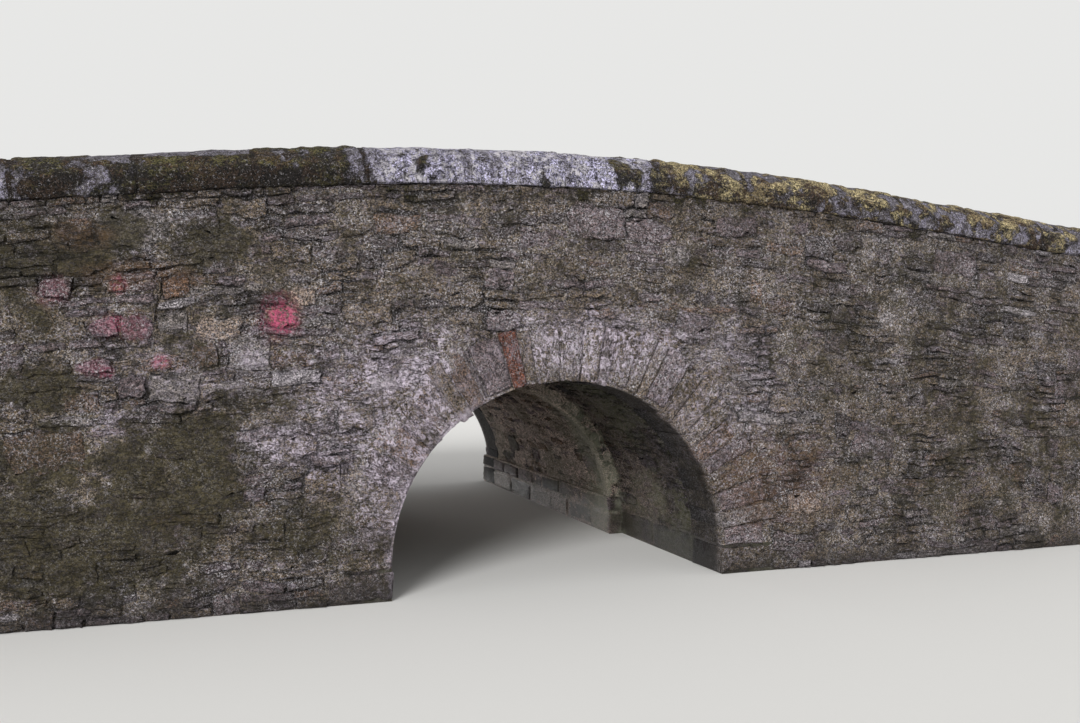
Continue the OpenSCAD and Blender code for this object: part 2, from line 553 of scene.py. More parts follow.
def rubble_bond():
    return Bond("rubble_wall", masonry().stone_depth, masonry().proud, lump_size=0.045, lump_height=0.012)


def set_stones(name, stones, surface, bond, finish):
    """Joins laid stones into one piece on a surface, each point with its stone's colour and grain."""
    joint = bond.joint or masonry().joint
    points, faces, tints, grains, hollows = [], [], [], [], []
    count = 0
    for stone in stones:
        u, v, out = stone.points(joint, bond.depth, bond.proud)
        placed = surface(u, v, out)
        points.append(placed)
        faces += [tuple(index + count for index in face) for face in stone.shape.faces]
        tints.append(np.tile(stone.colour, (len(placed), 1)))
        grain = (v, out, u) if bond.upright else (u, out, v)
        grains.append(np.stack(grain, axis=-1) + stone.grain_shift)
        hollows.append(stone.hollow())
        count += len(placed)
    points = np.concatenate(points)
    mesh = bpy.data.meshes.new(name)
    mesh.from_pydata(points.tolist(), [], faces)
    add_attribute(mesh, "stone_colour", np.concatenate(tints), "FLOAT_COLOR")
    add_attribute(mesh, "grain_place", np.concatenate(grains), "FLOAT_VECTOR")
    add_attribute(mesh, "hollow", np.concatenate(hollows))
    add_attribute(mesh, "near_coping", near_coping(points))
    piece = bpy.data.objects.new(name, mesh)
    bpy.context.scene.collection.objects.link(piece)
    roughen(piece, bond.lump_size, bond.lump_height)
    place_piece(piece, finish, bond.slot, STONE_CREASE)


# Surfaces: each turns u to the right, v up and n out of a face into a place on the bridge

def sway(u, v, rise):
    """How far the courses wander along u and v. It dies out at the edges of the face."""
    edge = np.clip(np.minimum(v, rise - v) / 0.12, 0.0, 1.0)
    edge = edge * np.clip((HALF_LENGTH - np.abs(u)) / 0.8, 0.0, 1.0)
    along = 0.010 * np.sin(9.0 * v + 2.3 * u) + 0.006 * np.sin(31.0 * v - 4.0 * u)
    up = 0.011 * np.sin(5.1 * u + 3.3 * v) + 0.008 * np.sin(14.0 * u - 5.0 * v)
    up += 0.005 * np.sin(37.0 * u + 19.0 * v)
    return along * edge, up * edge


def wall_surface(face_y, outward, low, high):
    """A face along the road, whose uneven courses follow the hump between a low and a high line."""
    rise = high(np.zeros(1))[0] - low(np.zeros(1))[0]

    def place(u, v, n):
        along, up = sway(u, v, rise)
        u, v = u + along, v + up
        x = -outward * u
        z = low(x) + v / rise * (high(x) - low(x))
        return np.stack([x, face_y + outward * n, z], axis=-1)

    return place, rise


def flat_surface(start, along, out):
    """An upright face, given in X and Y by a point on it, the way along it and the way out of it."""

    def place(u, v, n):
        x, y = (start[axis] + along[axis] * u + out[axis] * n for axis in (0, 1))
        return np.stack([x, y, v], axis=-1)

    return place


def end_surface(end):
    """The face at one end of the bridge, left being -1 and right 1."""
    return flat_surface((end * HALF_LENGTH, 0.0), (0, end), (end, 0))


def barrel_surface(radius, far_y):
    """The underside of the vault, v running up from the right-hand springing and over to the left."""

    def place(u, v, n):
        angle = v / radius
        reach = radius - n
        return np.stack([reach * np.cos(angle), far_y - u, SPRINGING + reach * np.sin(angle)], axis=-1)

    return place


def ring_surface(face):
    """The face of an arch ring: u runs round the arch from its left foot, v outwards from the opening."""

    def place(u, v, n):
        angle = math.pi - u / face.radius
        reach = face.radius + v
        x, z = -face.outward * reach * np.cos(angle), SPRINGING + reach * np.sin(angle)
        return np.stack([x, face.face_y + face.outward * n, z], axis=-1)

    return place


class ArchFace:
    """One of the two outer faces: where its arch opens and how far its ring reaches."""

    def __init__(self, side, face_y, outward, radius, outer, foot, foot_half_width):
        self.side, self.face_y, self.outward = side, face_y, outward
        self.radius, self.outer = radius, outer
        self.foot, self.foot_half_width = foot, foot_half_width

    def surface(self):
        return wall_surface(self.face_y, self.outward, ground_level, coping_level)

    def ring_half_width(self, level):
        """Half the width that the arch takes out of a course at this level, down to the jambs."""
        if level < self.foot:
            return self.foot_half_width + JAMB_LENGTH
        rise = level - SPRINGING
        return math.sqrt(max((self.outer - 0.03) ** 2 - rise**2, 0.0))

    def beside_opening(self, points):
        """How far each point lies outside the opening, in X and Z."""
        over = np.hypot(points[:, 0], points[:, 2] - SPRINGING) - self.radius
        beside = np.abs(points[:, 0]) - self.foot_half_width
        return np.where(points[:, 2] < self.foot, beside, over)


JAMB_LENGTH = 0.40
ARCH_FACES = (
    ArchFace("front", FRONT_FACE, -1, FRONT_RADIUS, FRONT_OUTER, SPRINGING, FRONT_RADIUS),
    ArchFace("back", BACK_FACE, 1, BACK_RADIUS, BACK_OUTER, LEDGE, LEDGE_HALF_WIDTH),
)

# Larger stones of the front that have their own place: X and Z of the middle, width, height and colour
FRONT_SET_STONES = (
    (-2.78, 1.70, 0.17, 0.13, "rose"),
    (-2.60, 1.70, 0.18, 0.17, "rose"),
    (-2.41, 1.69, 0.17, 0.13, "grey"),
    (-2.16, 1.68, 0.26, 0.15, "tan"),
    (-1.81, 1.74, 0.22, 0.16, "brown"),
    (-1.99, 1.51, 0.25, 0.19, "grey"),
    (-1.73, 1.38, 0.30, 0.09, "pale"),
    (-2.25, 1.52, 0.16, 0.16, "warm"),
    (-2.85, 1.47, 0.21, 0.12, "rose"),
    (-2.64, 1.34, 0.15, 0.16, "purple"),
    (-2.42, 1.33, 0.29, 0.20, "grey"),
    (-2.40, 1.90, 0.15, 0.09, "ochre"),
    (-1.69, 1.90, 0.16, 0.13, "tan"),
    (-2.71, 1.90, 0.10, 0.10, "ochre"),
    (-3.17, 2.17, 0.23, 0.09, "brown"),
    (-3.03, 1.92, 0.17, 0.14, "purple"),
    (-1.20, 1.36, 0.20, 0.12, "grey"),
    (-2.60, 1.01, 0.16, 0.12, "grey"),
    (-3.09, 0.96, 0.40, 0.28, "warm"),
    (1.78, 0.46, 0.30, 0.20, "tan"),
    (2.10, 0.62, 0.34, 0.22, "brown"),
)

# A large block at an end of the bridge: its lower and upper level, and how far it shows on the face and end
CornerBlock = namedtuple("CornerBlock", "low high along across")
# How far a corner block shows along its long and its short side, and how far it stands out of the end
CORNER_LONG = (0.38, 0.50)
CORNER_SHORT = (0.22, 0.30)
CORNER_OVERHANG = 0.015
# The blocks beside the opening: how far they reach into it, how far they run in, and their turns of length
JAMB_OVERHANG = 0.012
JAMB_DEPTH = 0.42
JAMB_TURNS = (1.0, 0.8)


def corner_blocks(rng):
    """The blocks of one corner from the water to the coping, long on the face and on the end by turns."""
    blocks = []
    for low, high, parapet in ((0.0, END_TOP, False), (END_TOP, float(coping_level(HALF_LENGTH)), True)):
        lines = course_lines(rng, low, high, *CORNER_COURSES)
        for index, (bottom, top) in enumerate(zip(lines, lines[1:])):
            long = rng.uniform(*CORNER_LONG)
            short = rng.uniform(*CORNER_SHORT)
            across = BACK_FACE - ROAD_HALF_WIDTH if parapet else (short, long)[index % 2]
            blocks.append(CornerBlock(bottom, top, (long, short)[index % 2], across))
    return blocks


CORNERS = {
    (end, side): corner_blocks(random.Random(200 + 10 * end + side)) for end in (-1, 1) for side in (-1, 1)
}


def corner_reach(end, side, level, across=False):
    """How far the corner block at this level reaches along the face, or across the end."""
    for block in CORNERS[end, side]:
        if block.low <= level < block.high:
            return block.across if across else block.along
    return 0.0


def between_corners(outward, side, level):
    """The stretch of a face along the road that the corner blocks leave free at this level."""
    left = -HALF_LENGTH + corner_reach(outward, side, level)
    return left, HALF_LENGTH - corner_reach(-outward, side, level)


class BRIDGE_OT_rubble(bpy.types.Operator):
    """Lays the rubble of the walls, parapets and ends"""

    bl_idname = "bridge.lay_rubble"
    bl_label = "Lay rubble"

    def execute(self, context):
        self.finish = rubble_finish("rubble", stones=True)
        for face, seed in zip(ARCH_FACES, (11, 23)):
            self.lay_face(face, seed)
        for parapet, seed in zip(PARAPET_FACES, (37, 41)):
            self.lay_parapet(*parapet, seed)
        for (side, end), seed in zip(ENDS, (53, 59)):
            self.lay_end(side, end, seed)
        return {"FINISHED"}

    def courses(self, seed, top, stretches, own_place=()):
        rng = random.Random(seed)
        sizes = masonry()
        lines = course_lines(rng, 0.0, top, sizes.course_low, sizes.course_high)
        lengths = (sizes.stone_short, sizes.stone_long)
        return lay_courses(
            rng, lines, stretches, RUBBLE_PALETTE, RUBBLE_SHAPES, lengths, sizes.tall_share, own_place
        )

    def lay_face(self, face, seed):
        """Lays one outer face in a left and a right piece, from the water to the coping, around the ring."""
        surface, rise = face.surface()
        own_place = []
        if face.side == "front":
            for x, z, width, height, colour in FRONT_SET_STONES:
                own_place.append((x, z * rise / float(coping_level(x)), width, height, colour))

        def stretches(low, high):
            v = (low + high) / 2
            level = v / rise * float(coping_level(HALF_LENGTH))
            left, right = between_corners(face.outward, face.outward, level)
            taken = face.ring_half_width(v)
            return [(left, right)] if taken == 0.0 else [(left, -taken), (taken, right)]

        stones = self.courses(seed, rise, stretches, own_place)
        for half, keep in ENDS:
            part = [stone for stone in stones if (stone.middle[0] * keep > 0) == (face.outward < 0)]
            set_stones("rubble_%s_%s" % (face.side, half), part, surface, rubble_bond(), self.finish)

    def lay_parapet(self, side, face_y, outward, seed):
        surface, rise = wall_surface(face_y, outward, road_level, coping_level)

        def stretches(low, high):
            level = float(road_level(HALF_LENGTH)) + (low + high) / 2
            return [between_corners(outward, -outward, level)]

        stones = self.courses(seed, rise, stretches)
        set_stones("rubble_parapet_%s_inside" % side, stones, surface, rubble_bond(), self.finish)

    def lay_end(self, side, end, seed):

        def stretches(low, high):
            level = (low + high) / 2
            near = corner_reach(end, -end, level, across=True)
            far = corner_reach(end, end, level, across=True)
            return [(FRONT_FACE + near, BACK_FACE - far)]

        stones = self.courses(seed, END_TOP, stretches)
        set_stones("rubble_end_%s" % side, stones, end_surface(end), rubble_bond(), self.finish)


class BRIDGE_OT_blocks(bpy.types.Operator):
    """Sets the large blocks at the ends of the bridge and beside the opening, under the arch rings"""

    bl_idname = "bridge.set_blocks"
    bl_label = "Set corner blocks"

    def execute(self, context):
        finish = rubble_finish("block", stones=True)
        for face in ARCH_FACES:
            rng = random.Random(61 + face.outward)
            stones = []
            for end in (-1, 1):
                for block in CORNERS[end, face.outward]:
                    stones.append(self.block(rng, -face.outward * end * HALF_LENGTH, block))
                stones += self.jamb(rng, face, -face.outward * end)
            surface = flat_surface((0.0, face.face_y), (-face.outward, 0), (0, face.outward))
            set_stones("corner_blocks_" + face.side, stones, surface, BLOCK_BOND, finish)
        return {"FINISHED"}

    def block(self, rng, corner, block):
        """A block that reaches inwards from a corner of the wall, and a little out of the end."""
        outside = corner + math.copysign(CORNER_OVERHANG, corner)
        start, end = sorted((outside, corner - math.copysign(block.along, corner)))
        return square_stone(
            rng, start, end, block.low, block.high, BLOCK_SHAPES, RUBBLE_PALETTE,
            proud=(0.5, 1.0), depth=block.across + 0.02
        )

    def jamb(self, rng, face, side):
        """The blocks on one side of the opening, which reach a little into it, long and short by turns."""
        lines = course_lines(rng, 0.0, face.foot, *BLOCK_COURSES)
        stones = []
        for index, (low, high) in enumerate(zip(lines, lines[1:])):
            length = JAMB_LENGTH * JAMB_TURNS[index % 2]
            inside = side * (face.foot_half_width - JAMB_OVERHANG)
            start, end = sorted((inside, side * (face.foot_half_width + length)))
            stones.append(square_stone(
                rng, start, end, low, high, BLOCK_SHAPES, RUBBLE_PALETTE, proud=(0.4, 0.8), depth=JAMB_DEPTH
            ))
        return stones


# Stones of the front ring that have their own place: the angle over the right springing at which each begins,
# and its colour. Where there is no colour, the stretch is filled with plain stones.
FRONT_RING_STONES = (
    (128.0, "brown"),
    (123.4, "warm"),
    (118.0, "dark"),
    (116.4, "purple"),
    (108.0, "rust"),
    (103.4, "brown"),
    (99.5, None),
)


class BRIDGE_OT_arch_stones(bpy.types.Operator):
    """Sets the long radial stones of the two arch rings"""

    bl_idname = "bridge.set_arch_stones"
    bl_label = "Set arch stones"

    def execute(self, context):
        finish = rubble_finish("arch_stone", stones=True)
        for face, seed in zip(ARCH_FACES, (71, 73)):
            stones = self.ring(face, random.Random(seed))
            set_stones("arch_stones_" + face.side, stones, ring_surface(face), RING_BOND, finish)
        return {"FINISHED"}

    def ring(self, face, rng):
        """The stones of one ring, from its left foot on; on the front some stones have their own place."""
        radius = face.radius
        foot_angle = math.asin((face.foot - SPRINGING) / radius)
        known = FRONT_RING_STONES if face.side == "front" else ()
        stops = [(math.pi - foot_angle, None)]
        stops += [(math.radians(degrees), colour) for degrees, colour in known]
        stops.append((foot_angle, None))
        stones = []
        for (start, colour), (end, _) in zip(stops, stops[1:]):
            count = 1 if colour else max(1, round(radius * (start - end) / masonry().arch_stone))
            widths = [rng.uniform(0.6, 1.5) for _ in range(count)]
            scale = radius * (start - end) / sum(widths)
            u = radius * (math.pi - start)
            for width in widths:
                stones.append(self.ring_stone(rng, face, u, u + width * scale, colour))
                u += width * scale
        return stones

    def ring_stone(self, rng, face, start, end, colour):
        length = (face.outer - face.radius) * (0.92 if colour else rng.uniform(0.72, 1.1))
        foot = -rng.uniform(0.0, 0.016)
        stone = square_stone(rng, start, end, foot, length, RING_SHAPES, RING_PALETTE, (0.3, 1.0))
        if colour:
            stone.colour = shaded(getattr(colours(), colour), 1.0, coated=0.3)
        return stone


# Lengths of the stones of the vault and the abutments
VAULT_LENGTHS = (0.12, 0.48)
ABUTMENT_LENGTHS = (0.22, 0.62)
# How far the abutment's stones keep from the outer faces, where the blocks stand, and how far the older ones
# reach out past the seam
JAMB_ROOM = 0.4
LEDGE_NOSE = 0.03
# How uneven the edge of the older vault is at the seam
SEAM_RAGGED = 0.012


class BRIDGE_OT_vault_stones(bpy.types.Operator):
    """Lays the stones of the vault and the abutments inside the arch"""

    bl_idname = "bridge.lay_vault_stones"
    bl_label = "Lay vault stones"

    def execute(self, context):
        self.finish = vault_finish("vault_stone", stones=True)
        front, old = VAULT_PARTS
        self.lay_vault(*front, 0.0, 0.0, 83)
        self.lay_vault(*old, LEDGE - SPRINGING, SEAM_RAGGED, 89)
        old_bond = ABUTMENT_BOND._replace(depth=LEDGE_STONE_DEPTH)
        front_part = (FRONT_RADIUS, FRONT_FACE + JAMB_ROOM, SEAM, SPRINGING)
        old_part = (LEDGE_HALF_WIDTH, SEAM - LEDGE_NOSE, BACK_FACE - JAMB_ROOM, LEDGE)
        for (side, sign), seed in zip(ENDS, (97, 101)):
            self.lay_abutment(side + "_front", sign, *front_part, ABUTMENT_BOND, seed)
            self.lay_abutment(side + "_old", sign, *old_part, old_bond, seed)
        return {"FINISHED"}

    def lay_vault(self, name, radius, near_y, far_y, foot, ragged, seed):
        """Lays stones lengthwise in a vault; at its near edge they stand out unevenly, by up to ragged."""
        rng = random.Random(seed)
        arc = radius * math.pi
        start = radius * math.asin(foot / radius)
        lines = course_lines(rng, start, arc - start, *VAULT_COURSES)

        def stretches(low, high):
            return [(0.0, far_y - near_y + rng.uniform(0.2, 1.0) * ragged)]

        stones = lay_courses(rng, lines, stretches, VAULT_PALETTE, RUBBLE_SHAPES, VAULT_LENGTHS, 0.08)
        set_stones("vault_stones_" + name, stones, barrel_surface(radius, far_y), VAULT_BOND, self.finish)

    def lay_abutment(self, name, sign, half_width, near_y, far_y, top, bond, seed):
        rng = random.Random(seed)
        lines = course_lines(rng, 0.0, top, *BLOCK_COURSES)

        def stretches(low, high):
            return [(0.0, far_y - near_y)]

        stones = lay_courses(rng, lines, stretches, ABUTMENT_PALETTE, BLOCK_SHAPES, ABUTMENT_LENGTHS)
        start = (sign * half_width, far_y if sign > 0 else near_y)
        surface = flat_surface(start, (0, -sign), (-sign, 0))
        set_stones("abutment_stones_" + name, stones, surface, bond, self.finish)


# Spacing of the points in the mortar, finer on the front
MORTAR_SPACING = 0.042
FRONT_MORTAR_SPACING = 0.030
# How thin and how thick the mortar may be, and the least thickness that fills its joints
MORTAR_LIMITS = (0.001, 0.032)
FULL_MORTAR = 0.012
# Mortar nearer to the opening than this is taken away
OPENING_MARGIN = 0.12
# Where the mortar was smeared over the front: X and Z of the middle, half width, half height and thickness
SMEARS = (
    (-2.70, 0.80, 0.75, 0.36, 0.018),
    (-1.30, 0.55, 0.55, 0.35, 0.008),
)


class BRIDGE_OT_mortar(bpy.types.Operator):
    """Spreads uneven mortar over the faces, so that it laps over the edges of the stones"""

    bl_idname = "bridge.spread_mortar"
    bl_label = "Spread mortar"

    def execute(self, context):
        wall = (rubble_finish("mortar", stones=False), "rubble_wall")
        vault = (vault_finish("vault_mortar", stones=False), "vault_stone")
        full = (-HALF_LENGTH, HALF_LENGTH)
        for face in ARCH_FACES:
            surface, rise = face.surface()
            self.spread("mortar_" + face.side, full, (0.0, rise), surface, wall, face)
        for side, face_y, outward in PARAPET_FACES:
            surface, rise = wall_surface(face_y, outward, road_level, coping_level)
            self.spread("mortar_parapet_%s_inside" % side, full, (0.0, rise), surface, wall)
        for side, end in ENDS:
            self.spread("mortar_end_" + side, (FRONT_FACE, BACK_FACE), (0.0, END_TOP), end_surface(end), wall)
        for name, radius, near_y, far_y in VAULT_PARTS:
            arc = (0.0, radius * math.pi)
            surface = barrel_surface(radius, far_y)
            self.spread("mortar_vault_" + name, (0.0, far_y - near_y), arc, surface, vault)
        return {"FINISHED"}

    def thickness(self, points, face, ragged_edge):
        """How thick the mortar is at each point of a face; it stops short of an opening."""
        waves = 0.014 * noise_at(points, 3.1) + 0.010 * noise_at(points, 16.0, (5.0, 9.0, 2.0))
        thickness = masonry().mortar + waves
        if face and face.side == "front":
            for x, z, half_x, half_z, extra in SMEARS:
                reach = np.hypot((points[:, 0] - x) / half_x, (points[:, 2] - z) / half_z)
                thickness += extra * np.clip(1.6 - 1.6 * reach, 0.0, 1.0)
        if ragged_edge:
            thickness += 0.020 * np.clip(1.6 - (points[:, 1] - SEAM) / 0.13, 0.0, 1.0)
        thickness = np.clip(thickness, *MORTAR_LIMITS)
        if face:
            # At the left foot of the arch the mortar comes nearer to the opening than elsewhere
            bare = np.interp(points[:, 0], (-0.80, -0.62), (0.10, 0.25))
            thickness -= 0.05 * np.clip(1.0 - (face.beside_opening(points) - bare) / 0.16, 0.0, 1.0)
        return thickness

    def spread(self, name, u_range, v_range, surface, kind, face=None):
        """A fine grid laid on a surface, uneven in thickness, with its rim tucked into the wall."""
        spacing = FRONT_MORTAR_SPACING if face and face.side == "front" else MORTAR_SPACING
        skin, u, v, rim = lay_grid(name, u_range, v_range, spacing)
        on_wall = surface(u, v, np.zeros_like(u))
        thickness = self.thickness(on_wall, face, ragged_edge=name.endswith("old_part"))
        thickness[rim] = -TUCK
        move_points(skin.data, surface(u, v, thickness))
        add_attribute(skin.data, "hollow", np.clip(1.0 - thickness / FULL_MORTAR, 0.0, 1.0))
        add_attribute(skin.data, "near_coping", near_coping(on_wall))
        if face:

            def near_opening(middle, normal):
                return face.beside_opening(np.array([middle]))[0] < OPENING_MARGIN

            activate(skin)
            pick(skin, "FACE", near_opening)
            bpy.ops.mesh.delete(type="FACE")
            bpy.ops.object.mode_set(mode="OBJECT")
        place_piece(skin, *kind, SKIN_CREASE)


# How much moss grows along the front coping, by X, and on the back
FRONT_MOSS = (
    (-4.55, 0.70), (-3.60, 0.80), (-3.38, 0.62), (-3.24, 0.62), (-3.12, 0.90), (-2.80, 0.94), (-2.70, 0.78),
    (-2.57, 0.78), (-2.45, 0.94), (-2.00, 0.94), (-1.45, 0.70), (-1.25, 0.52), (-1.10, 0.34), (-0.95, 0.30),
    (-0.89, 0.46), (-0.80, 0.32), (-0.71, 0.44), (-0.62, 0.30), (-0.51, 0.44), (-0.40, 0.28), (0.20, 0.14),
    (0.45, 0.20), (0.78, 0.84), (1.15, 0.94), (1.28, 0.70), (1.42, 0.70), (1.55, 0.90), (1.80, 0.88),
    (2.30, 0.80), (2.90, 0.62), (4.55, 0.60),
)
BACK_MOSS = 0.5
# The middle and half length of a stretch of the front coping whose top is bare
BARE_CREST = (-2.42, 0.45)
# The mortar between two coping stones: how much longer it is than a stone, and how much slimmer by turns
JOINT_STRETCH = 1.06
JOINT_SLIM = (0.982, 0.970)


def moss_amount(points):
    """How much moss grows on the coping at each point: as listed along the front, even on the back."""
    front = np.interp(points[:, 0], *zip(*FRONT_MOSS))
    return np.where(points[:, 1] < 0.0, front, BACK_MOSS)


class BRIDGE_OT_coping(bpy.types.Operator):
    """Weathers the coping stones: worn edges, pits and cushions of moss"""

    bl_idname = "bridge.weather_coping"
    bl_label = "Weather coping"

    def execute(self, context):
        finish = coping_finish("coping")
        for node in COPING_STONES:
            self.weather(node, finish)
        for side in ("front", "back"):
            self.fill_joints(side, finish)
        return {"FINISHED"}

    def copy_node(self, node, name):
        """A copy of a frame node with its doubled corner points merged."""
        deselect_all()
        piece = bpy.data.objects.new(name, NODES[node].data.copy())
        piece.data.name = name
        bpy.context.scene.collection.objects.link(piece)
        edit_all(piece)
        bpy.ops.mesh.remove_doubles(threshold=0.0002)
        bpy.ops.object.mode_set(mode="OBJECT")
        return piece

    def weather(self, node, finish):
        piece = self.copy_node(node, node + "_weathered")
        grain = masonry().coping_grain
        apply_modifier(piece, "REMESH", mode="VOXEL", voxel_size=grain, use_smooth_shade=True)
        apply_modifier(piece, "SMOOTH", factor=0.5, iterations=3)
        roughen(piece, 0.20, 0.020, 3)
        roughen(piece, 0.04, 0.008)
        self.grow_cushions(piece)
        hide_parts(node)
        place_piece(piece, finish, "coping_stone")

    def note_growth(self, mesh, moss, stain, upward):
        """Notes at each point how thick the moss is, how dark the stone under it and how far it faces up, by
        which the finish paints light and shade.
        """
        for name, values in (("moss", moss), ("stain", stain), ("upward", upward)):
            add_attribute(mesh, name, np.clip(values, 0.0, 1.0))

    def grow_cushions(self, piece):
        """Raises cushions of moss, more of them where moss_amount is high."""
        mesh = piece.data
        points = mesh_points(mesh)
        normals = np.array([vertex.normal for vertex in mesh.vertices], float)
        patches = noise_at(points, 3.7)
        tufts = noise_at(points, 14.0)
        drift = noise_at(points, 6.5, (9.0, 2.0, 4.0))
        amount = moss_amount(points + drift[:, None] * (0.14, 0.0, 0.0))
        middle, half = BARE_CREST
        crest = np.clip((normals[:, 2] - 0.76) / 0.08, 0.0, 1.0) * (np.abs(points[:, 0] - middle) < half)
        moss = np.clip((amount + 0.65 * patches + 0.60 * tufts - crest - 0.42) / 0.60, 0.0, 1.0)
        move_points(mesh, points + normals * (moss * (0.007 + 0.008 * tufts))[:, None])
        self.note_growth(mesh, moss, (amount - 0.3) / 0.4, normals[:, 2])

    def fill_joints(self, side, finish):
        """Mortar in the joints of the coping: the stones once more, a little longer and a little slimmer."""
        parts = []
        for index, node in enumerate(COPING_STONES):
            if side in node:
                slim = JOINT_SLIM[index % 2]
                low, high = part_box(node)
                end_stone = max(abs(low.x), abs(high.x)) > HALF_LENGTH - 0.01
                stretch = 1.0 if end_stone else JOINT_STRETCH
                part = self.copy_node(node, "coping_joint")
                edit_all(part)
                bpy.ops.transform.resize(value=(stretch, slim, slim), center_override=tuple((low + high) / 2))
                bpy.ops.object.mode_set(mode="OBJECT")
                parts.append(part)
        activate(parts[0])
        for part in parts:
            part.select_set(True)
        bpy.ops.object.join()
        joints = bpy.context.active_object
        joints.name = joints.data.name = "coping_joints_" + side
        amount = moss_amount(mesh_points(joints.data))
        # With upward at 0 the joints take the painted shade of an upright face.
        self.note_growth(joints.data, (amount - 0.4) / 0.4, amount + 0.3, np.zeros(len(amount)))
        place_piece(joints, finish, "coping_stone")


# Spacing of the points in the gravel, and where the wheel ruts and the raised verges lie across the road
GRAVEL_SPACING = 0.05
RUT_OFFSET, RUT_WIDTH = 0.78, 0.22
VERGE_START, VERGE_WIDTH = 1.85, 0.3


class BRIDGE_OT_road(bpy.types.Operator):
    """Spreads the worn gravel of the road"""

    bl_idname = "bridge.spread_road"
    bl_label = "Spread road"

    def execute(self, context):
        finish = road_finish("road")
        length, width = (-HALF_LENGTH, HALF_LENGTH), (-ROAD_HALF_WIDTH, ROAD_HALF_WIDTH)
        road, x, y, rim = lay_grid("road_gravel", length, width, GRAVEL_SPACING)
        ruts = np.exp(-(((np.abs(y) - RUT_OFFSET) / RUT_WIDTH) ** 2))
        verge = np.clip((np.abs(y) - VERGE_START) / VERGE_WIDTH, 0.0, 1.0)
        flat = np.stack([x, y, np.zeros_like(x)], axis=-1)
        lumps = noise_at(flat, 2.1) + 0.5 * noise_at(flat, 11.0, (0.0, 0.0, 33.0))
        rise = 0.022 - 0.016 * ruts + 0.016 * verge + 0.007 * lumps
        rise[rim] = -TUCK
        move_points(road.data, np.stack([x, y, road_level(x) + rise], axis=-1))
        place_piece(road, finish, "stone_road", SKIN_CREASE)
        return {"FINISHED"}


class BRIDGE_OT_frame_finish(bpy.types.Operator):
    """Gives the nodes of the frame their own finishes"""

    bl_idname = "bridge.finish_frame"
    bl_label = "Finish frame"

    def execute(self, context):
        wall = rubble_finish("wall_core", stones=False)
        vault = vault_finish("vault_core", stones=False)
        fill = earth_finish("fill")
        finishes = (
            (("wall", "end_wall", "parapet", "arch_ring", "coping"), wall),
            (("vault", "abutment"), vault),
            (("fill", "road"), fill),
        )
        for name, node in NODES.items():
            for starts, finish in finishes:
                if name.startswith(starts):
                    put_on(node, finish)
        return {"FINISHED"}


# Finishes

class Value:
    """A number or colour that a material works out at each point of a surface; it adds and multiplies."""

    def __init__(self, finish, socket):
        self.finish, self.socket = finish, socket

    def __add__(self, other):
        return self.finish.maths("ADD", self, other)

    def __sub__(self, other):
        return self.finish.maths("SUBTRACT", self, other)

    def __rsub__(self, other):
        return self.finish.maths("SUBTRACT", other, self)

    def __mul__(self, other):
        return self.finish.maths("MULTIPLY", self, other)

    __radd__ = __add__
    __rmul__ = __mul__

    def __abs__(self):
        return self.finish.maths("ABSOLUTE", self)

    def fade(self, low, high, start=0.0, end=1.0):
        """From start at low to end at high, smooth between them; low may be the larger."""
        inputs = {"Value": self, "From Min": low, "From Max": high, "To Min": start, "To Max": end}
        return self.finish.value("ShaderNodeMapRange", 0, inputs, interpolation_type="SMOOTHSTEP")

    def ease(self, start, end):
        """From start where it is 0 to end where it is 1."""
        return self.fade(0.0, 1.0, start, end)


